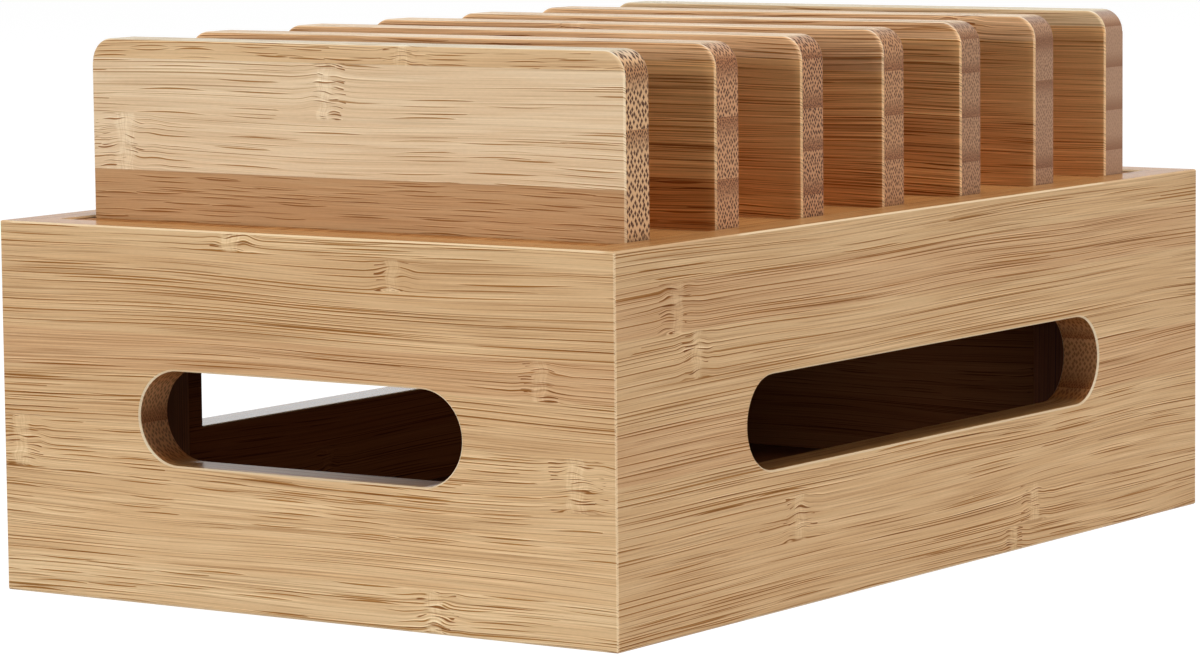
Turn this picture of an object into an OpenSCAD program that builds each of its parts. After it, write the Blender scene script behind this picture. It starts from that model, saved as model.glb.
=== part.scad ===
// Charging station organizer: an open bamboo box with a lift-off lid that carries seven dividers.
// Millimetres. Origin at the centre of the underside, +X along the long side, +Z up.
// The long wall at -Y is the front, and the long wall at +Y has the opening for a mains lead.

/* [Box] */
// Length of the box along X
box_l = 259; // [230:1:300]
// Width of the box along Y
box_w = 168.5; // [150:0.5:200]
// Height of the four walls
box_h = 84.5; // [78:0.5:100]
// Thickness of the wall boards
wall_t = 10; // [8:0.5:12]
// Width of the flat that eases every outer arris
arris = 0.4; // [0.2:0.1:0.8]

/* [Floor board] */
// Thickness of the floor board
floor_t = 5; // [4:0.5:7]
// Height of the floor board's underside above the table
floor_z = 3; // [2:0.5:5]
// Depth of the groove that holds the floor board in each wall
groove_d = 4; // [2.5:0.5:5]
// Play of the floor board in its groove
groove_play = 0.2; // [0.1:0.1:0.5]

/* [Corner posts] */
// Side of the square posts that carry the lid
post_w = 20; // [14:1:26]

/* [Hand slots] */
// Height of the two round-ended slots
slot_h = 21.2; // [16:0.2:30]
// Distance from the corner of the box to the slot in the front wall
front_slot_inset = 50.8; // [42:0.2:60]
// Distance from the corner of the box to the slot in the left wall
left_slot_inset = 40; // [38:0.2:50]

/* [Rear opening] */
// Height of the square-cornered opening in the rear wall
rear_opening_h = 21.2; // [16:0.2:30]
// Distance from the corner of the box to the rear opening
rear_opening_inset = 59.4; // [42:0.2:80]

/* [Lid] */
// Thickness of the lid board
lid_t = 10; // [8:0.5:12]
// Gap between the lid and the walls on every side
lid_gap = 0.9; // [0.5:0.1:1.5]
// How far the lid lies below the top of the walls
lid_recess = 0.5; // [0.2:0.1:2]
// Width of the cable slots through the lid
cable_slot_w = 12; // [8:0.5:14]
// Length of the cable slots through the lid
cable_slot_l = 44; // [24:1:70]

/* [Dividers] */
// Thickness of the dividers
divider_t = 9.4; // [7:0.2:11]
// Height of the dividers above the top of the walls
divider_rise = 40.6; // [30:0.1:60]
// Radius of the dividers' upper corners
divider_r = 5.5; // [4:0.5:12]
// Radius that rounds the dividers' edges along the top and round the corners
crown_r = 0.8; // [0.4:0.1:1.5]
// Distance from the lid's left end to the first divider
first_margin = 9.5; // [6:0.1:14]
// Distance from the last divider to the lid's right end
last_margin = 7.3; // [6:0.1:14]
// Depth of the grooves that the dividers stand in
dado_d = 3; // [2:0.5:4]
// Play of a divider in its groove, on each face
dado_play = 0.1; // [0.05:0.05:0.2]

/* [Screws] */
// Shank diameter of the divider screws
screw_d = 3; // [2.5:0.1:3.5]
// Head diameter of the divider screws
screw_head_d = 6; // [5:0.2:7]
// Length of the divider screws under the lid's lower face
screw_l = 20; // [16:1:26]
// Distance from the lid's long edge to the screws
screw_inset = 28; // [18:1:36]
// Gap between the screw shank and its holes
screw_play = 0.1; // [0.05:0.05:0.2]

/* [Hidden] */
$fn = 64;
divider_count = 7;
overcut = 1;

in_l = box_l - 2 * wall_t;
in_w = box_w - 2 * wall_t;
floor_top = floor_z + floor_t;
lid_top = box_h - lid_recess;
lid_z = lid_top - lid_t;
lid_l = in_l - 2 * lid_gap;
lid_w = in_w - 2 * lid_gap;
slot_z = box_h / 2;
front_slot_l = box_l - 2 * front_slot_inset;
left_slot_l = box_w - 2 * left_slot_inset;
rear_opening_l = box_l - 2 * rear_opening_inset;
rear_opening_z = slot_z - slot_h / 2;
dado_z = lid_top - dado_d;
divider_top = box_h + divider_rise;
divider_pitch = (lid_l - first_margin - last_margin - divider_t) / (divider_count - 1);
first_x = -lid_l / 2 + first_margin + divider_t / 2;
screw_y = lid_w / 2 - screw_inset;
screw_head_h = (screw_head_d - screw_d) / 2;

// Middle plane of a divider, counted from the left
function divider_x(n) = first_x + (n - 1) * divider_pitch;

// Middle of the bay to the right of a divider
function bay_x(n) = divider_x(n) + divider_pitch / 2;

// Outline of a board's cross-section, centred, with every corner eased
module eased_rect(w, h) {
    polygon([
        [-w / 2 + arris, -h / 2], [w / 2 - arris, -h / 2],
        [w / 2, -h / 2 + arris], [w / 2, h / 2 - arris],
        [w / 2 - arris, h / 2], [-w / 2 + arris, h / 2],
        [-w / 2, h / 2 - arris], [-w / 2, -h / 2 + arris]
    ]);
}

// Half outline of an eased hole: radius across, board thickness up, flared at both faces
module flared_profile(r, t) {
    mouth = r + arris + overcut;
    polygon([
        [0, -overcut], [mouth, -overcut], [r, arris],
        [r, t - arris], [mouth, t + overcut], [0, t + overcut]
    ]);
}

// Round-ended hole along X through a board that is t thick along Z
module slot_cut(l, h, t) {
    straight = l - h;
    for (side = [-1, 1])
        translate([side * straight / 2, 0, 0])
            rotate_extrude()
                flared_profile(h / 2, t);
    rotate([90, 0, 90])
        linear_extrude(straight, center = true)
            union() {
                flared_profile(h / 2, t);
                mirror([1, 0])
                    flared_profile(h / 2, t);
            }
}

// Square-cornered hole through a board that is t thick along Z
module window_cut(l, h, t) {
    intersection() {
        rotate([90, 0, 90])
            linear_extrude(l + 4 * overcut, center = true)
                union() {
                    flared_profile(h / 2, t);
                    mirror([1, 0])
                        flared_profile(h / 2, t);
                }
        rotate([90, 0, 0])
            linear_extrude(h + 4 * overcut, center = true)
                union() {
                    flared_profile(l / 2, t);
                    mirror([1, 0])
                        flared_profile(l / 2, t);
                }
    }
}

// Mitred wall board along X with its outer face at y = 0, grooved for the floor board
module mitred_wall(l) {
    difference() {
        intersection() {
            translate([0, wall_t / 2, box_h / 2])
                rotate([90, 0, 90])
                    linear_extrude(l, center = true)
                        eased_rect(wall_t, box_h);
            linear_extrude(box_h)
                polygon([
                    [-l / 2 + arris, 0], [l / 2 - arris, 0], [l / 2 - arris / 2, arris / 2],
                    [l / 2 - wall_t, wall_t], [-l / 2 + wall_t, wall_t],
                    [-l / 2 + arris / 2, arris / 2]
                ]);
        }
        translate([-l / 2, wall_t - groove_d, floor_z])
            cube([l, groove_d + overcut, floor_t + groove_play]);
    }
}

module front_wall() {
    color("burlywood")
        difference() {
            translate([0, -box_w / 2, 0])
                mitred_wall(box_l);
            translate([0, -box_w / 2 + wall_t, slot_z])
                rotate([90, 0, 0])
                    slot_cut(front_slot_l, slot_h, wall_t);
        }
}

module rear_wall() {
    color("burlywood")
        difference() {
            rotate([0, 0, 180])
                translate([0, -box_w / 2, 0])
                    mitred_wall(box_l);
            translate([0, box_w / 2, rear_opening_z + rear_opening_h / 2])
                rotate([90, 0, 0])
                    window_cut(rear_opening_l, rear_opening_h, wall_t);
        }
}

module left_wall() {
    color("tan")
        rotate([0, 0, -90])
            difference() {
                translate([0, -box_l / 2, 0])
                    mitred_wall(box_w);
                translate([0, -box_l / 2 + wall_t, slot_z])
                    rotate([90, 0, 0])
                        slot_cut(left_slot_l, slot_h, wall_t);
            }
}

module right_wall() {
    color("tan")
        rotate([0, 0, 90])
            translate([0, -box_l / 2, 0])
                mitred_wall(box_w);
}

// The floor board's edges reach into the walls' grooves, short of their ends by the play
module floor_board() {
    tongue = 2 * (groove_d - groove_play);
    color("peru")
        translate([0, 0, floor_z + floor_t / 2])
            cube([in_l + tongue, in_w + tongue, floor_t], center = true);
}

// A post stands on the floor board in an inner corner, and its free arris is eased
module corner_post(x_side, y_side) {
    mirror([x_side > 0 ? 1 : 0, 0, 0])
        mirror([0, y_side > 0 ? 1 : 0, 0])
            translate([-in_l / 2, -in_w / 2, floor_top])
                linear_extrude(lid_z - floor_top)
                    polygon([
                        [0, 0], [post_w, 0], [post_w, post_w - arris],
                        [post_w - arris, post_w], [0, post_w]
                    ]);
}

module front_left_post() {
    color("peru")
        corner_post(-1, -1);
}

module front_right_post() {
    color("peru")
        corner_post(1, -1);
}

module rear_left_post() {
    color("peru")
        corner_post(-1, 1);
}

module rear_right_post() {
    color("peru")
        corner_post(1, 1);
}

// Screw holes through the lid, with the countersink in its lower face
module lid_screw_hole() {
    translate([0, 0, -overcut])
        cylinder(h = lid_t + 2 * overcut, d = screw_d + 2 * screw_play);
    translate([0, 0, -overcut])
        cylinder(h = overcut, d = screw_head_d);
    cylinder(h = screw_head_h, d1 = screw_head_d, d2 = screw_d);
}

module lid_board() {
    color("burlywood")
        difference() {
            intersection() {
                translate([0, 0, lid_z + lid_t / 2])
                    rotate([90, 0, 90])
                        linear_extrude(lid_l, center = true)
                            eased_rect(lid_w, lid_t);
                translate([0, 0, lid_z + lid_t / 2])
                    rotate([90, 0, 0])
                        linear_extrude(lid_w, center = true)
                            eased_rect(lid_l, lid_t);
            }
            for (n = [1 : divider_count])
                translate([divider_x(n), 0, dado_z + lid_t / 2])
                    cube([divider_t + 2 * dado_play, lid_w + overcut, lid_t], center = true);
            for (n = [1 : divider_count - 1])
                translate([bay_x(n), 0, lid_z])
                    rotate([0, 0, 90])
                        slot_cut(cable_slot_l, cable_slot_w, lid_t);
            for (n = [1 : divider_count])
                for (side = [-1, 1])
                    translate([divider_x(n), side * screw_y, lid_z])
                        lid_screw_hole();
        }
}

// Cross-section through a divider's edge, standing on y = 0, with its two upper corners rounded
module crowned_rect(w, h) {
    translate([-w / 2, 0])
        square([w, h - crown_r]);
    translate([-w / 2 + crown_r, 0])
        square([w - 2 * crown_r, h]);
    for (side = [-1, 1])
        translate([side * (w / 2 - crown_r), h - crown_r])
            circle(crown_r);
}

// One upper corner of a divider: a disc on the X axis with both rims rounded
module divider_corner() {
    rotate([0, 90, 0])
        rotate_extrude()
            rotate(-90)
                crowned_rect(divider_t, divider_r);
}

// Upright board with two round upper corners, standing in its groove in the lid
module divider(n) {
    h = divider_top - dado_z;
    color("burlywood")
        translate([divider_x(n), 0, 0])
            difference() {
                union() {
                    translate([0, 0, dado_z])
                        linear_extrude(h - divider_r)
                            eased_rect(divider_t, lid_w);
                    translate([0, 0, dado_z])
                        rotate([90, 0, 0])
                            linear_extrude(lid_w - 2 * divider_r, center = true)
                                crowned_rect(divider_t, h);
                    for (side = [-1, 1])
                        translate([0, side * (lid_w / 2 - divider_r), divider_top - divider_r])
                            divider_corner();
                }
                for (side = [-1, 1])
                    translate([0, side * screw_y, dado_z - overcut])
                        cylinder(h = lid_z + screw_l - dado_z + screw_play + overcut,
                                 d = screw_d + 2 * screw_play);
            }
}

module divider_1() {
    divider(1);
}

module divider_2() {
    divider(2);
}

module divider_3() {
    divider(3);
}

module divider_4() {
    divider(4);
}

module divider_5() {
    divider(5);
}

module divider_6() {
    divider(6);
}

module divider_7() {
    divider(7);
}

// Countersunk screw, head flush with z = 0, pointing up
module screw() {
    tip = screw_d / 2;
    cylinder(h = screw_head_h, d1 = screw_head_d, d2 = screw_d);
    cylinder(h = screw_l - tip, d = screw_d);
    translate([0, 0, screw_l - tip])
        cylinder(h = tip, d1 = screw_d, d2 = 0);
}

module divider_screws() {
    color("silver")
        for (n = [1 : divider_count])
            for (side = [-1, 1])
                translate([divider_x(n), side * screw_y, lid_z])
                    screw();
}

front_wall();
rear_wall();
left_wall();
right_wall();
floor_board();
front_left_post();
front_right_post();
rear_left_post();
rear_right_post();
lid_board();
divider_1();
divider_2();
divider_3();
divider_4();
divider_5();
divider_6();
divider_7();
divider_screws();
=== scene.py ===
import math

import bmesh
import bpy
from mathutils import Matrix, Vector


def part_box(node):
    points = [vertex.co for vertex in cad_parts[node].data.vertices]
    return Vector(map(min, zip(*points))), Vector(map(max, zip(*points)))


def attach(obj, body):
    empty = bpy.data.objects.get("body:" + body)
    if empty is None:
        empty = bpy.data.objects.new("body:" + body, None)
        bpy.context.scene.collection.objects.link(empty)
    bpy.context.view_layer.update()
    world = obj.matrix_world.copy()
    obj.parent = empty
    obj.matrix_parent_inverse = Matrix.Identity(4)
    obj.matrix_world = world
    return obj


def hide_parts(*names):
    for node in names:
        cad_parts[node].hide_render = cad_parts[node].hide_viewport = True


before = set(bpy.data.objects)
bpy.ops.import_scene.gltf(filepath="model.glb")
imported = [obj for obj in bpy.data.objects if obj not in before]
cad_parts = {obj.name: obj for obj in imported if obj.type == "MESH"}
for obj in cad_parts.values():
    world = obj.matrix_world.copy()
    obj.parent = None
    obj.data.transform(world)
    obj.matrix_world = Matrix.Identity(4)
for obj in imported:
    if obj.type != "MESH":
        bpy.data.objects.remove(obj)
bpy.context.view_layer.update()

scene = bpy.context.scene
print("frame loaded:", len(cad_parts), "nodes")


# Camera: three-quarter view on the left front corner, a long lens a little above the walls
cameraSet = {
    "place": (-0.978484, -0.662911, 0.177403),
    "yaw": 34.4537,      # degrees from +X towards +Y
    "pitch": 6.0371,     # degrees downwards
    "roll": -0.5844,     # degrees, clockwise is negative
    "lens": 149.15,
    "sensor": 36.0,
}


def makeCamera(setup):
    yaw, pitch, roll = (math.radians(setup[key]) for key in ("yaw", "pitch", "roll"))
    forward = Vector((math.cos(yaw) * math.cos(pitch), math.sin(yaw) * math.cos(pitch), -math.sin(pitch)))
    right = Vector((math.sin(yaw), -math.cos(yaw), 0))
    up = right.cross(forward)
    across = right * math.cos(roll) + up * math.sin(roll)
    upright = up * math.cos(roll) - right * math.sin(roll)
    data = bpy.data.cameras.new("camera")
    data.sensor_fit = "HORIZONTAL"
    data.sensor_width = setup["sensor"]
    data.lens = setup["lens"]
    data.clip_start, data.clip_end = 0.05, 100
    camera = bpy.data.objects.new("camera", data)
    scene.collection.objects.link(camera)
    turn = Matrix((across, upright, -forward)).transposed()
    camera.matrix_world = Matrix.Translation(setup["place"]) @ turn.to_4x4()
    scene.camera = camera


makeCamera(cameraSet)
print("camera placed")


def rgb(red, green, blue):
    # Screen colour, 0 to 255, as the linear colour that shaders take
    return tuple(((part / 255 + 0.055) / 1.055) ** 2.4 for part in (red, green, blue)) + (1.0,)


class Wire:
    # One shader socket, which adds Math nodes when it stands in a sum
    def __init__(self, finish, socket):
        self.finish, self.socket = finish, socket

    def math(self, operation, *values):
        return self.finish.node("ShaderNodeMath", {"operation": operation}, dict(enumerate(values)))

    def __add__(self, other):
        return self.math("ADD", self, other)

    def __radd__(self, other):
        return self.math("ADD", other, self)

    def __sub__(self, other):
        return self.math("SUBTRACT", self, other)

    def __rsub__(self, other):
        return self.math("SUBTRACT", other, self)

    def __mul__(self, other):
        return self.math("MULTIPLY", self, other)

    def __rmul__(self, other):
        return self.math("MULTIPLY", other, self)

    def __truediv__(self, other):
        return self.math("DIVIDE", self, other)

    def __abs__(self):
        return self.math("ABSOLUTE", self)


class Finish:
    # A material or a world whose nodes are added one by one
    def __init__(self, owner):
        owner.use_nodes = True
        self.owner, self.tree = owner, owner.node_tree
        self.tree.nodes.clear()

    def node(self, kind, settings, values, output=0):
        made = self.tree.nodes.new(kind)
        for key, value in settings.items():
            if key == "stops":
                self.fillRamp(made.color_ramp.elements, value)
            elif key == "interpolation":
                made.color_ramp.interpolation = value
            else:
                setattr(made, key, value)
        for key, value in values.items():
            if isinstance(value, Wire):
                self.tree.links.new(value.socket, made.inputs[key])
            else:
                made.inputs[key].default_value = value
        if isinstance(output, tuple):
            return [Wire(self, made.outputs[key]) for key in output]
        return Wire(self, made.outputs[output])

    def fillRamp(self, elements, stops):
        elements.remove(elements[1])
        elements[0].position, elements[0].color = stops[0]
        for position, colour in stops[1:]:
            elements.new(position).color = colour

    def split(self, vector):
        return self.node("ShaderNodeSeparateXYZ", {}, {0: vector}, (0, 1, 2))

    def join(self, x, y):
        return self.node("ShaderNodeCombineXYZ", {}, {0: x, 1: y})

    def smooth(self, value, low, high):
        return self.node("ShaderNodeMapRange", {"interpolation_type": "SMOOTHSTEP"},
                         {"Value": value, "From Min": low, "From Max": high})

    def noise(self, place, detail=0.0, roughness=0.5):
        return self.node("ShaderNodeTexNoise", {"noise_dimensions": "2D"},
                         {"Vector": place, "Scale": 1.0, "Detail": detail, "Roughness": roughness})

    def cells(self, place, randomness, output):
        return self.node("ShaderNodeTexVoronoi", {"voronoi_dimensions": "2D"},
                         {"Vector": place, "Scale": 1.0, "Randomness": randomness}, output)

    def mix(self, factor, under, over):
        return self.node("ShaderNodeMix", {"data_type": "RGBA"}, {0: factor, 6: under, 7: over}, 2)

    def stain(self, factor, under, over):
        return self.node("ShaderNodeMix", {"data_type": "RGBA", "blend_type": "MULTIPLY"},
                         {0: factor, 6: under, 7: over}, 2)

    def shade(self, colour, level):
        return self.node("ShaderNodeVectorMath", {"operation": "SCALE"}, {0: colour, "Scale": level})

    def ramp(self, value, stops, interpolation):
        return self.node("ShaderNodeValToRGB", {"stops": stops, "interpolation": interpolation}, {0: value})


# Bamboo: what every board shares. Lengths are millimetres.
bambooSet = {
    "tones": {
        "cream": (222, 196, 161),
        "pale": (216, 186, 145),
        "straw": (211, 178, 136),
        "honey": (205, 170, 128),
        "rosy": (201, 163, 122),
        "toffee": (196, 156, 115),
        "umber": (187, 147, 105),
        "peach": (222, 178, 132),
        "amber": (232, 182, 124),
        "russet": (222, 168, 111),
        "chestnut": (208, 148, 90),
        "tan": (182, 132, 81),
        "saddle": (173, 122, 72),
    },
    "fibre": (0.47, 0.30, 0.13, 1),     # what a dark fibre leaves of the ground colour
    "core": (1.22, 1.32, 1.42, 1),      # the light wood beside a bundle of fibres
    "mark": (0.40, 0.24, 0.13, 1),      # a short dark dash at a joint of the stalk
    "blush": (0.97, 0.93, 0.89, 1),      # redder streaks in the ground
    "crowd": (0.68, 0.55, 0.46, 1),     # cut across, the side of a strip where the bundles crowd
    "dot": (0.09, 0.03, 0.012, 1),      # a bundle cut across
    "knot": (1.10, 1.16, 1.22, 1),      # the pale wood at a joint of the stalk
    "arris": (246, 230, 198),           # painted highlight along the edges
    "rim": (0.82, 0.64, 0.44, 1),       # painted light on the upper edge of a wall: darker and warmer
    "inner": (0.12, 0.05, 0.025, 1),    # painted shade on the inside faces
    "roughness": 0.46,
    "specular": 0.12,
    "coat": 0.12,
    "polish": 0.40,                     # more coat on the upper edge of a wall
    "coatRoughness": 0.15,
    "bump": 0.5,
    "relief": 0.00008,
}


def bundles(finish, along, across, length, height, amount, half, bow):
    # Leaf-shaped bundles of fibres, one to a cell: the dark sheath and the light wood beside it
    spot, chance = finish.cells(finish.join(along / length, across / height), 0.9, ("Position", "Color"))
    spotU, spotV, spare = finish.split(spot)
    shown, size, lean = finish.split(chance)
    fromU = (along / length - spotU) * (1 / half[0])
    square = fromU * fromU
    fromV = across / height - spotV + square * ((lean - 0.5) * bow)
    leaf = (1 - square) * (size * 0.8 + 0.4) * half[1]
    sheath = finish.smooth(leaf - abs(fromV), -0.02, 0.08)
    core = finish.smooth(leaf * 0.8 - abs(fromV - half[1] * 1.1), -0.02, 0.10)
    present = finish.smooth(amount - shown, 0.0, 0.1)
    return sheath * present, core * present


def bundleEnds(finish, across, up, size):
    # Upright lozenges in staggered rows, where the bundles are cut across
    level = up / (size * 1.45)
    gap = finish.node("ShaderNodeTexVoronoi", {"voronoi_dimensions": "2D", "distance": "CHEBYCHEV"}, {
        "Vector": finish.join(across / size + level, across / size - level),
        "Scale": 1.0, "Randomness": 0.5}, "Distance")
    return finish.smooth(gap, 0.40, 0.21)


def jointMarks(finish, u, v, board, wander):
    # Where the stalk's joints cross the board: how far they lift the grain, and where they are pale or dashed
    edges = [strip[0] for strip in board["strips"]] + [board["span"][1]]
    swing, pale, dashed = 0.0, 0.0, 0.0
    for joint in board["joints"]:
        low, high = edges[joint["strip"]], edges[joint["strip"] + 1]
        side, tilt = joint.get("side", 0), joint.get("tilt", 0.0)
        inside = finish.smooth(v, low - 0.4, low + 0.4) * finish.smooth(v, high + 0.4, high - 0.4)
        offset = (u - joint["at"] + (v - (low + high) / 2) * tilt) / joint["width"] + wander * 0.6
        square = offset * offset
        swing = swing + inside * finish.smooth(abs(offset), 2.8, 0.0) * (wander * 1.5 + joint.get("lift", 0.6))
        pale = pale + inside * finish.smooth(square, 0.5, 0.05)
        dashed = dashed + inside * finish.smooth(square, 4.0, 0.3) * (offset * (side * 0.35) + 0.6)
    return swing, pale, dashed


def bambooFinish(name, board):
    look = bambooSet
    finish = Finish(bpy.data.materials.new(name))
    position, normal = finish.node("ShaderNodeTexCoord", {}, {}, ("Object", "Normal"))
    order = ["XYZ".index(letter) for letter in board["axes"]]     # along the fibres, across the strips, through
    place = finish.split(finish.shade(position, 1000.0))
    facing = finish.split(normal)
    u, v, w = (place[i] for i in order)
    cutting, facingW = abs(facing[order[0]]), abs(facing[order[2]])
    seed = board["seed"]
    q = v + w * 0.83

    # Strips glued edge to edge, each with its own tone and fibres
    low, high = board["span"]
    strips = board["strips"]
    share = [(strip[0] - low) / (high - low) for strip in strips] + [1.0]
    tones = [rgb(*look["tones"][strip[1]]) for strip in strips]
    habits = [(lines, dashes, length / 60, 1) for start, tone, lines, dashes, length in strips]
    saw = []
    for number, (left, right) in enumerate(zip(share, share[1:])):
        crowdedHigh = 1 if number in board.get("crowdedHigh", ()) else 0
        saw += [(left, (1 - crowdedHigh, 0, 0, 1)), (right - 0.0004, (crowdedHigh, 0, 0, 1))]
    height = (v - low) / (high - low)
    ground = finish.ramp(height, list(zip(share, tones)), "CONSTANT")
    lineAmount, dashAmount, dashLength = finish.split(
        finish.ramp(height, list(zip(share, habits)), "CONSTANT"))
    depth = finish.split(finish.ramp(height, saw, "LINEAR"))[0]
    seam = finish.smooth(abs(depth - 0.5), 0.47, 0.5)

    # The grain wanders a little, and rises over the stalk's joints
    drift = finish.noise(finish.join(u / 90 + seed, q / 20 + seed), 0.0)
    wander = finish.noise(finish.join(u / 6 + seed, q / 2.5), 0.0) - 0.5
    flow = q + (drift - 0.5) * 3.2
    clear = 1.0
    if board["joints"]:
        swing, pale, dashed = jointMarks(finish, u, v, board, wander)
        flow = flow - swing
        clear = 1 - pale * 0.8

    # Long lines, short dashes and hair-thin fibres
    lines, lineCore = bundles(finish, u + seed * 31, flow, 120.0, 0.78, lineAmount, (0.48, 0.23), 0.3)
    dashes, dashCore = bundles(finish, u + seed * 17, flow, dashLength * 60, 1.0, dashAmount, (0.46, 0.19), 0.8)
    hair = finish.noise(finish.join(u / 60 + seed, flow / 0.36), 2.0, 0.7)
    silk = finish.noise(finish.join(u / 60, flow / 2.1 + seed), 2.0)
    speckle = finish.noise(finish.join(u / 1.6, flow / 0.4), 1.0)
    coarse = board.get("coarse", 1.0)
    level = (0.5 - hair) * (0.45 * coarse) + silk * 0.15 - speckle * 0.09 - seam * 0.10 + 1.02
    colour = finish.shade(ground, level)
    colour = finish.stain(finish.smooth(silk, 0.62, 0.40), colour, look["blush"])
    colour = finish.stain(finish.smooth(hair, 0.54, 0.68) * (0.55 * coarse), colour, look["fibre"])
    colour = finish.stain(finish.smooth(hair, 0.44, 0.30) * (0.6 * coarse), colour, look["core"])
    colour = finish.stain(lineCore * clear * 0.8, colour, look["core"])
    colour = finish.stain(lines * clear * 0.92, colour, look["fibre"])
    colour = finish.stain(dashCore * clear * 0.8, colour, look["core"])
    colour = finish.stain(dashes * clear * 0.96, colour, look["fibre"])

    # Joints: pale wrinkled wood with short dark dashes about it
    if board["joints"]:
        marks, markCore = bundles(finish, u + seed * 7, flow, 7.5, 0.9, dashed, (0.5, 0.22), 0.7)
        wrinkle = finish.noise(finish.join(u / 0.45 + wander * 3, q / 4), 0.0) - 0.5
        colour = finish.stain(pale * (wrinkle * 3.0 + 0.7), colour, look["knot"])
        colour = finish.stain(markCore, colour, look["core"])
        colour = finish.stain(marks, colour, look["mark"])

    # Cut across the fibres the bundles are dots, small and crowded towards one side of each strip
    cut = finish.smooth(cutting, 0.12, 0.5) * finish.smooth(facingW, 0.6, 0.3)
    tone, size, strength = board.get("ends", ((200, 144, 96), 1.2, 0.5))
    crowd = finish.smooth(depth, 0.55, 1.0)
    large = bundleEnds(finish, w, v + seed, size)
    small = bundleEnds(finish, w, v + seed, size * 0.62)
    endGrain = finish.stain(crowd, rgb(*tone), look["crowd"])
    endGrain = finish.stain((large + crowd * (small - large)) * strength, endGrain, look["dot"])
    colour = finish.mix(cut, colour, endGrain)

    # Painted highlight along the edges
    edge = finish.smooth(facingW * (1 - facingW * facingW), 0.30, 0.375)
    corner = finish.smooth(abs(u), 80.0, 83.0)
    colour = finish.mix(edge * (board.get("eased", 0.9) * (1 - corner * 0.7)), colour, rgb(*look["arris"]))
    # Painted light on the upper faces: darker and warmer on the walls, lighter and cooler on the dividers
    upper = finish.smooth(abs(facing[order[1]]), 0.5, 0.95)
    colour = finish.stain(upper, colour, board.get("rim", look["rim"]))
    # Painted shade on the faces inside the box, below the top of the lid
    if "inside" in board:
        outer, inner = board["inside"]
        covered = finish.smooth(place[2], 83.95, 83.7)
        colour = finish.stain(finish.smooth(w, outer, inner) * covered, colour, board.get("dim", look["inner"]))

    gloss = finish.smooth(v, 60.0, 50.0) * board.get("sill", 0.0) + board.get("polish", look["polish"])
    bump = finish.node("ShaderNodeBump", {}, {
        "Strength": look["bump"], "Distance": look["relief"], "Height": 1 - hair})
    shader = finish.node("ShaderNodeBsdfPrincipled", {}, {
        "Base Color": colour, "Roughness": look["roughness"] + cut * 0.15, "Normal": bump,
        "Specular IOR Level": board.get("specular", look["specular"]),
        "Coat Weight": upper * gloss + board.get("coat", look["coat"]),
        "Coat Roughness": look["coatRoughness"]})
    finish.node("ShaderNodeOutputMaterial", {}, {"Surface": shader}, ())
    return finish.owner
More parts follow.
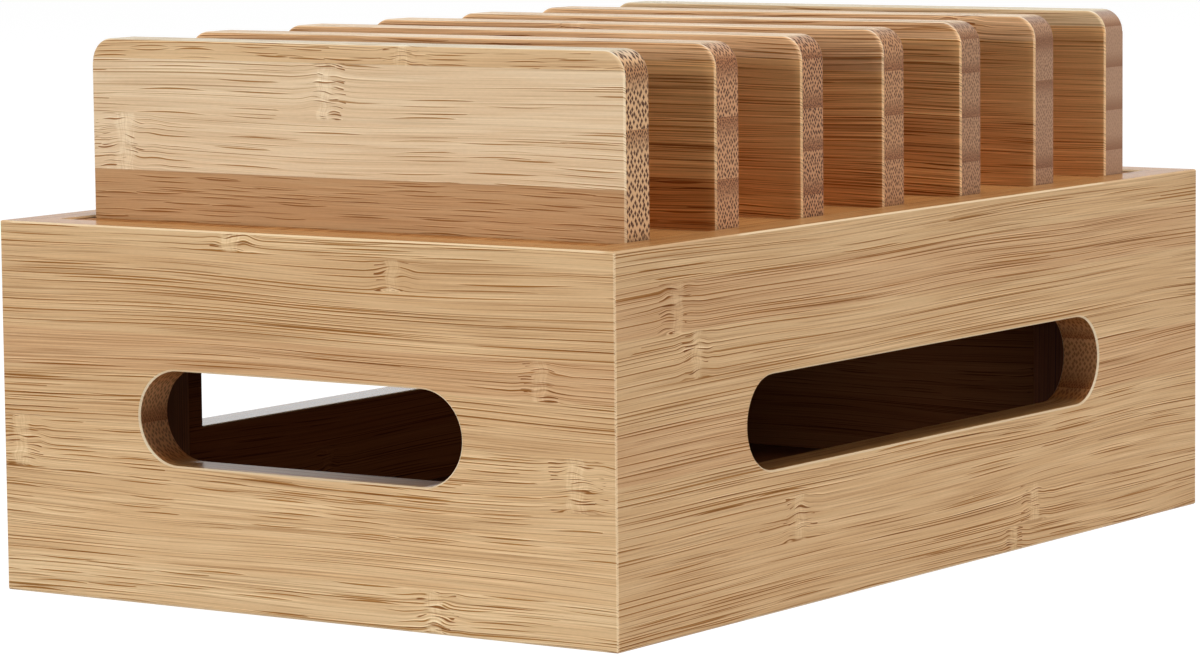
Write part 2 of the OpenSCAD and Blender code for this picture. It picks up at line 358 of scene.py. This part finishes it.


# Boards. A strip is its lower edge in millimetres, tone, share of long lines, share of dashes and dash length.
# A joint is its place along the fibres, its strip and its half width.
# A board's inside span, through its thickness, marks the faces that take painted shade
boards = {
    "left_wall": {
        "axes": "YZX", "span": (0, 84.5), "seed": 1.3, "inside": (-119.9, -119.6), "coarse": 0.75, "specular": 0.02, "coat": 0.06,
        "ends": ((226, 168, 118), 1.2, 0.5),
        "strips": [
            (0, "pale", 0.30, 0.70, 22), (9.5, "straw", 0.45, 0.25, 40), (18.5, "straw", 0.30, 0.60, 20),
            (29.0, "straw", 0.40, 0.70, 20), (40.5, "honey", 0.60, 0.50, 30), (52.0, "rosy", 0.60, 0.40, 40),
            (60.5, "honey", 0.90, 0.40, 60), (73.5, "honey", 0.60, 0.40, 40), (80.3, "straw", 0.60, 0.40, 30),
        ],
        "joints": [
            {"at": 17.6, "strip": 8, "width": 4.0}, {"at": -26.6, "strip": 7, "width": 3.0},
            {"at": -65.0, "strip": 5, "width": 3.2}, {"at": -74.0, "strip": 3, "width": 4.5},
            {"at": 79.0, "strip": 3, "width": 4.0}, {"at": -36.6, "strip": 0, "width": 3.5, "side": -1},
        ],
    },
    "front_wall": {
        "axes": "XZY", "span": (0, 84.5), "seed": 4.1, "inside": (-74.65, -74.35), "coarse": 0.65, "specular": 0.02, "coat": 0.06,
        "strips": [
            (0, "honey", 0.60, 0.70, 30), (6.0, "honey", 0.50, 0.45, 40), (15.0, "honey", 0.50, 0.40, 30),
            (25.0, "honey", 0.60, 0.45, 26), (34.5, "rosy", 0.80, 0.30, 50), (46.5, "honey", 0.75, 0.30, 50),
            (55.0, "honey", 0.65, 0.30, 50), (65.3, "rosy", 0.80, 0.40, 50), (76.0, "honey", 0.60, 0.25, 40),
            (82.8, "honey", 0.50, 0.20, 40),
        ],
        "joints": [
            {"at": -106.0, "strip": 7, "width": 4.0, "side": -1}, {"at": -98.5, "strip": 6, "width": 3.4},
            {"at": -57.8, "strip": 2, "width": 4.0}, {"at": 47.0, "strip": 1, "width": 4.0, "side": -1},
            {"at": 37.0, "strip": 0, "width": 3.0},
        ],
    },
    "rear_wall": {
        "axes": "XZY", "span": (0, 84.5), "seed": 7.7, "inside": (74.65, 74.35), "coarse": 0.7, "specular": 0.02, "coat": 0.06,
        "sill": 0.55,
        "strips": [
            (0, "honey", 0.40, 0.40, 26), (10.0, "straw", 0.30, 0.20, 34), (21.5, "rosy", 0.55, 0.30, 26),
            (32.0, "honey", 0.45, 0.25, 40), (44.0, "straw", 0.30, 0.40, 18), (53.5, "honey", 0.60, 0.20, 40),
            (64.0, "toffee", 0.50, 0.35, 30), (74.5, "honey", 0.35, 0.30, 24),
        ],
        "joints": [
            {"at": 88.0, "strip": 6, "width": 4.0}, {"at": -22.0, "strip": 1, "width": 3.5, "side": 1},
            {"at": -101.0, "strip": 4, "width": 3.6}, {"at": 30.0, "strip": 7, "width": 4.0},
        ],
    },
    "right_wall": {
        "axes": "YZX", "span": (0, 84.5), "seed": 9.2, "inside": (119.9, 119.6), "coarse": 0.7, "specular": 0.02, "coat": 0.06,
        # A milder painted shade on this wall's inside
        "dim": (0.21, 0.105, 0.065, 1),
        "strips": [
            (0, "straw", 0.35, 0.35, 30), (12.0, "honey", 0.50, 0.25, 34), (23.0, "pale", 0.25, 0.50, 18),
            (33.5, "honey", 0.45, 0.20, 40), (45.0, "rosy", 0.60, 0.30, 30), (55.5, "straw", 0.30, 0.30, 24),
            (66.0, "honey", 0.50, 0.25, 40), (77.0, "straw", 0.30, 0.40, 20),
        ],
        "joints": [
            {"at": -48.0, "strip": 2, "width": 3.6}, {"at": 36.0, "strip": 4, "width": 4.0, "side": 1},
            {"at": 58.0, "strip": 7, "width": 3.5}, {"at": -12.0, "strip": 0, "width": 4.0},
        ],
    },
    "lid_board": {
        "axes": "XYZ", "span": (-73.4, 73.4), "seed": 12.4, "inside": (74.3, 74.05),
        "strips": [
            (-73.4, "saddle", 0.45, 0.40, 40), (-55.0, "tan", 0.35, 0.30, 34), (-36.0, "saddle", 0.50, 0.35, 40),
            (-17.5, "saddle", 0.40, 0.40, 28), (2.0, "tan", 0.35, 0.35, 40), (20.5, "saddle", 0.50, 0.35, 34),
            (39.0, "saddle", 0.40, 0.40, 40), (57.0, "saddle", 0.45, 0.35, 30),
        ],
        "joints": [{"at": -14.0, "strip": 4, "width": 4.0}, {"at": 66.0, "strip": 1, "width": 4.0}],
        "specular": 0.02, "coat": 0.0, "polish": 0.0,
    },
    "floor_board": {
        "axes": "XYZ", "span": (-78.2, 78.2), "seed": 15.0, "inside": (0.0, 0.1),
        "strips": [
            (-78.2, "honey", 0.40, 0.30, 40), (-52.0, "straw", 0.35, 0.30, 34), (-25.0, "rosy", 0.50, 0.30, 40),
            (4.0, "honey", 0.40, 0.30, 30), (31.0, "straw", 0.40, 0.25, 40), (56.0, "honey", 0.45, 0.30, 34),
        ],
        "joints": [],
    },
    "divider_1": {
        "strips": [
            (81.0, "umber", 0.15, 0.80, 18), (95.3, "cream", 0.25, 0.55, 24), (108.2, "cream", 0.30, 0.35, 24),
            (120.7, "straw", 0.30, 0.90, 14),
        ],
        "joints": [
            {"at": 6.8, "strip": 2, "width": 3.6, "side": -1}, {"at": -14.8, "strip": 3, "width": 3.4},
            {"at": 63.8, "strip": 1, "width": 5.0, "side": 1},
        ],
        "coarse": 0.40, "ends": ((216, 173, 129), 1.45, 0.97), "crowdedHigh": (1, 2),
    },
    # Dividers 2 to 7 have deeper, more orange tones than divider 1: painted warm bounce light and shade of the
    # narrow gaps between the dividers
    "divider_2": {
        "strips": [
            (81.0, "chestnut", 0.30, 0.70, 18), (95.3, "amber", 0.60, 0.20, 40), (108.9, "amber", 0.60, 0.20, 40),
            (121.0, "peach", 0.40, 0.40, 24),
        ],
        "joints": [{"at": 21.0, "strip": 2, "width": 3.0}],
        "coarse": 1.35, "ends": ((200, 148, 107), 1.10, 0.90), "crowdedHigh": (0, 1, 2),
    },
    "divider_3": {
        "strips": [
            (81.0, "amber", 0.40, 0.40, 26), (89.3, "russet", 0.50, 0.30, 30), (99.2, "amber", 0.50, 0.25, 40),
            (108.6, "amber", 0.60, 0.25, 40), (119.8, "peach", 0.25, 0.30, 24),
        ],
        "joints": [{"at": -30.0, "strip": 2, "width": 3.4}],
        "coarse": 1.5, "ends": ((188, 137, 98), 1.05, 0.95),
    },
    "divider_4": {
        "strips": [
            (81.0, "russet", 0.60, 0.30, 34), (94.8, "russet", 0.60, 0.30, 30), (105.1, "amber", 0.40, 0.30, 26),
            (115.3, "peach", 0.50, 0.30, 40),
        ],
        "joints": [{"at": 12.0, "strip": 3, "width": 3.4}],
        "coarse": 1.6, "ends": ((188, 138, 98), 1.00, 0.80),
    },
    "divider_5": {
        "strips": [
            (81.0, "amber", 0.50, 0.50, 20), (92.0, "russet", 0.60, 0.30, 34), (102.5, "amber", 0.50, 0.25, 40),
            (113.0, "amber", 0.30, 0.40, 24), (121.0, "peach", 0.40, 0.40, 20),
        ],
        "joints": [{"at": -44.0, "strip": 3, "width": 3.4}],
        "coarse": 1.6, "ends": ((174, 131, 98), 0.95, 0.65),
    },
    "divider_6": {
        "strips": [
            (81.0, "amber", 0.50, 0.50, 24), (88.2, "russet", 0.70, 0.30, 30), (99.1, "amber", 0.60, 0.25, 40),
            (109.5, "amber", 0.40, 0.25, 30), (119.0, "peach", 0.40, 0.50, 20),
        ],
        "joints": [{"at": -52.0, "strip": 4, "width": 3.4}],
        "coarse": 1.5, "ends": ((172, 131, 101), 0.90, 0.50), "crowdedHigh": (2, 3),
    },
    "divider_7": {
        "strips": [
            (81.0, "amber", 0.30, 0.30, 30), (90.4, "amber", 0.40, 0.30, 40), (100.4, "amber", 0.40, 0.20, 40),
            (110.9, "amber", 0.40, 0.20, 40), (121.0, "pale", 0.20, 0.30, 24),
        ],
        "joints": [{"at": 33.0, "strip": 1, "width": 3.4}],
        "coarse": 1.0, "ends": ((174, 136, 108), 0.90, 0.20),
    },
}
# The dividers' upper faces get a lighter, cooler painted highlight, and the edges a fainter painted highlight
for number in range(1, 8):
    boards[f"divider_{number}"].update(
        axes="YZX", span=(81.0, 125.4), seed=20.0 + number * 2.7, rim=(1.06, 1.30, 1.66, 1), eased=0.3, polish=0.0)
for number, corner in enumerate(("front_left", "front_right", "rear_left", "rear_right")):
    # The corner posts take painted shade all over, below the top of the lid
    boards[corner + "_post"] = {
        "axes": "ZXY", "span": (-120, 120), "seed": 40.0 + number * 3.1, "inside": (-200, -199), "dim": (0.24, 0.11, 0.055, 1),
        "strips": [(-120, "honey", 0.40, 0.30, 30), (0, "straw", 0.40, 0.30, 30)], "joints": [],
    }

for name, board in boards.items():
    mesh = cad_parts[name].data
    mesh.materials.clear()
    mesh.materials.append(bambooFinish(name + "_bamboo", board))
print("bamboo finished:", len(boards), "boards")


# Screws: two countersunk ones up into each divider, cross recess below, in one mesh
screwSet = {
    "headRadius": 0.00295,
    "headHeight": 0.0015,
    "neckRadius": 0.00140,
    "coreRadius": 0.00108,
    "crestRadius": 0.00150,
    "threadFrom": 0.0042,
    "threadTo": 0.0178,
    "pitch": 0.00130,
    "tip": 0.0198,
    "recess": 0.0012,
    "recessTaper": 0.62,
    "gridHalf": 0.0019,
    "turnSteps": 14,
    "steel": (172, 172, 168),
}


def screwHead(shape, setup):
    # A grid whose middle cross sinks into the head, then one ring after another up to the tip
    bmesh.ops.create_grid(shape, x_segments=7, y_segments=7, size=setup["gridHalf"])
    cell = setup["gridHalf"] * 2 / 7
    cross = []
    for face in shape.faces:
        x, y = (abs(round(part / cell)) for part in face.calc_center_median()[:2])
        if min(x, y) == 0 and max(x, y) < 3:
            cross.append(face)
    edges = [edge for edge in shape.edges if edge.is_boundary]
    for vert in {vert for edge in edges for vert in edge.verts}:
        vert.co = vert.co.normalized() * setup["headRadius"]
    sunk = bmesh.ops.extrude_face_region(shape, geom=cross)["geom"]
    bmesh.ops.delete(shape, geom=cross, context="FACES_ONLY")
    taper = setup["recessTaper"]
    sunkVerts = [part for part in sunk if isinstance(part, bmesh.types.BMVert)]
    bmesh.ops.scale(shape, vec=(taper, taper, 1), verts=sunkVerts)
    bmesh.ops.translate(shape, vec=(0, 0, setup["recess"]), verts=sunkVerts)
    core, neck, tip = setup["coreRadius"], setup["neckRadius"], setup["tip"]
    rings = [
        (neck, setup["headHeight"]), (neck, setup["threadFrom"] - 0.0006), (core, setup["threadFrom"]),
        (core, setup["threadTo"] - 0.0006), (0.0001, tip),
    ]
    for radius, height in rings:
        ring = bmesh.ops.extrude_edge_only(shape, edges=edges)["geom"]
        edges = [part for part in ring if isinstance(part, bmesh.types.BMEdge)]
        for vert in {vert for edge in edges for vert in edge.verts}:
            vert.co = Vector((vert.co.x, vert.co.y, 0)).normalized() * radius
            vert.co.z = height
    bmesh.ops.contextual_create(shape, geom=edges)


def screwThread(shape, setup):
    # A ridge that winds from the neck to the tip and fades into the core at both ends
    low, high = setup["coreRadius"] * 0.94, setup["crestRadius"]
    half, start = setup["pitch"] * 0.24, setup["threadFrom"]
    profile = [shape.verts.new((low, 0, start - half)), shape.verts.new((high, 0, start)),
               shape.verts.new((low, 0, start + half))]
    strip = [shape.edges.new(profile[:2]), shape.edges.new(profile[1:])]
    steps = round((setup["threadTo"] - start) / setup["pitch"] * setup["turnSteps"])
    wound = bmesh.ops.spin(
        shape, geom=profile + strip, cent=(0, 0, 0), axis=(0, 0, 1),
        dvec=(0, 0, setup["pitch"] / setup["turnSteps"]),
        angle=math.tau * steps / setup["turnSteps"], steps=steps, use_merge=False)
    last = [part for part in wound["geom_last"] if isinstance(part, bmesh.types.BMVert)]
    ends = [profile[1]] + [vert for vert in last if math.hypot(vert.co.x, vert.co.y) > setup["coreRadius"]]
    bmesh.ops.scale(shape, vec=(low / high, low / high, 1), verts=ends)


def makeScrews(setup):
    shape = bmesh.new()
    screwHead(shape, setup)
    screwThread(shape, setup)
    bmesh.ops.recalc_face_normals(shape, faces=shape.faces)
    first = list(shape.verts) + list(shape.edges) + list(shape.faces)
    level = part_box("lid_board")[0][2] + 0.00005
    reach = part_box("divider_screws")[1][1] - 0.003
    for number in range(1, 8):
        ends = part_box(f"divider_{number}")
        middle = (ends[0][0] + ends[1][0]) / 2
        for y in (-reach, reach):
            made = bmesh.ops.duplicate(shape, geom=first)["geom"]
            verts = [part for part in made if isinstance(part, bmesh.types.BMVert)]
            bmesh.ops.translate(shape, vec=(middle, y, level), verts=verts)
    bmesh.ops.delete(shape, geom=[part for part in first if isinstance(part, bmesh.types.BMVert)], context="VERTS")
    for face in shape.faces:
        face.smooth = True
    for edge in shape.edges:
        edge.smooth = edge.is_boundary or edge.calc_face_angle(0) < 0.6
    mesh = bpy.data.meshes.new("screws")
    shape.to_mesh(mesh)
    shape.free()
    screws = bpy.data.objects.new("screws", mesh)
    scene.collection.objects.link(screws)
    mesh.materials.append(steelFinish(setup))
    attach(screws, "lid")
    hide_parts("divider_screws")
    return screws


def steelFinish(setup):
    # Zinc plate: dull spots and faint drawing lines
    finish = Finish(bpy.data.materials.new("screw_zinc"))
    position = finish.node("ShaderNodeTexCoord", {}, {}, "Object")
    spots = finish.node("ShaderNodeTexNoise", {}, {"Vector": position, "Scale": 1400.0, "Detail": 2.0})
    x, y, z = finish.split(finish.shade(position, 1000.0))
    drawn = finish.noise(finish.join(x / 3 + y / 3, z / 0.08), 1.0)
    colour = finish.shade(rgb(*setup["steel"])[:3], spots * 0.3 + drawn * 0.2 + 0.72)
    shader = finish.node("ShaderNodeBsdfPrincipled", {}, {
        "Base Color": colour, "Metallic": 1.0, "Roughness": spots * 0.3 + drawn * 0.1 + 0.16})
    finish.node("ShaderNodeOutputMaterial", {}, {"Surface": shader}, ())
    return finish.owner


screws = makeScrews(screwSet)
print("screws made:", len(screws.data.polygons), "faces")


# Floor, backdrop and light
studioSet = {
    "floorSize": 12.0,
    "floorBounce": (0.62, 0.62, 0.62, 1),
    "floorShade": (0.14, 0.14, 0.14, 1),      # the share of the white floor that a shadow can take
    "floorGlow": 0.975,
    "ambient": (0.04, 0.04, 0.042, 1),
    "lamps": [
        {"name": "keyLamp", "place": (-2.4, 0.15, 0.38), "size": 0.9, "power": 35, "tint": (1, 1, 1)},
        {"name": "fillLamp", "place": (0.25, -2.4, 0.38), "size": 0.9, "power": 30.5, "tint": (1, 1, 1)},
        {"name": "topLamp", "place": (-0.1, -0.1, 2.4), "size": 0.9, "power": 38, "tint": (1, 1, 1)},
    ],
    "aim": (0, 0, 0.06),
}


def makeFloor(setup):
    mesh = bpy.data.meshes.new("floor")
    shape = bmesh.new()
    bmesh.ops.create_grid(shape, x_segments=1, y_segments=1, size=setup["floorSize"])
    shape.to_mesh(mesh)
    shape.free()
    floor = bpy.data.objects.new("floor", mesh)
    scene.collection.objects.link(floor)
    finish = Finish(bpy.data.materials.new("floor_white"))
    camera, glossy, through = finish.node(
        "ShaderNodeLightPath", {}, {}, ("Is Camera Ray", "Is Glossy Ray", "Is Transmission Ray"))
    seen = finish.smooth(camera + glossy + through, 0.0, 1.0)
    paper = finish.node("ShaderNodeBsdfDiffuse", {}, {"Color": setup["floorBounce"]})
    shaded = finish.node("ShaderNodeBsdfDiffuse", {}, {"Color": setup["floorShade"]})
    glow = finish.node("ShaderNodeEmission", {}, {"Color": (1, 1, 1, 1), "Strength": setup["floorGlow"]})
    white = finish.node("ShaderNodeAddShader", {}, {0: shaded, 1: glow})
    shader = finish.node("ShaderNodeMixShader", {}, {0: seen, 1: paper, 2: white})
    finish.node("ShaderNodeOutputMaterial", {}, {"Surface": shader}, ())
    mesh.materials.append(finish.owner)


def makeWorld(setup):
    world = bpy.data.worlds.new("studio")
    scene.world = world
    finish = Finish(world)
    camera, glossy, through = finish.node(
        "ShaderNodeLightPath", {}, {}, ("Is Camera Ray", "Is Glossy Ray", "Is Transmission Ray"))
    seen = finish.smooth(camera + glossy + through, 0.0, 1.0)
    colour = finish.mix(seen, setup["ambient"], (1, 1, 1, 1))
    sky = finish.node("ShaderNodeBackground", {}, {"Color": colour, "Strength": 1.0})
    finish.node("ShaderNodeOutputWorld", {}, {"Surface": sky}, ())


def makeLamps(setup):
    for lamp in setup["lamps"]:
        data = bpy.data.lights.new(lamp["name"], "AREA")
        data.shape = "DISK"
        data.size = lamp["size"]
        data.energy = lamp["power"]
        data.color = lamp["tint"]
        light = bpy.data.objects.new(lamp["name"], data)
        scene.collection.objects.link(light)
        aim = Vector(setup["aim"]) - Vector(lamp["place"])
        light.location = lamp["place"]
        light.rotation_euler = aim.to_track_quat("-Z", "Y").to_euler()


scene.view_settings.view_transform = "Standard"
makeFloor(studioSet)
makeWorld(studioSet)
makeLamps(studioSet)
print("studio lit")
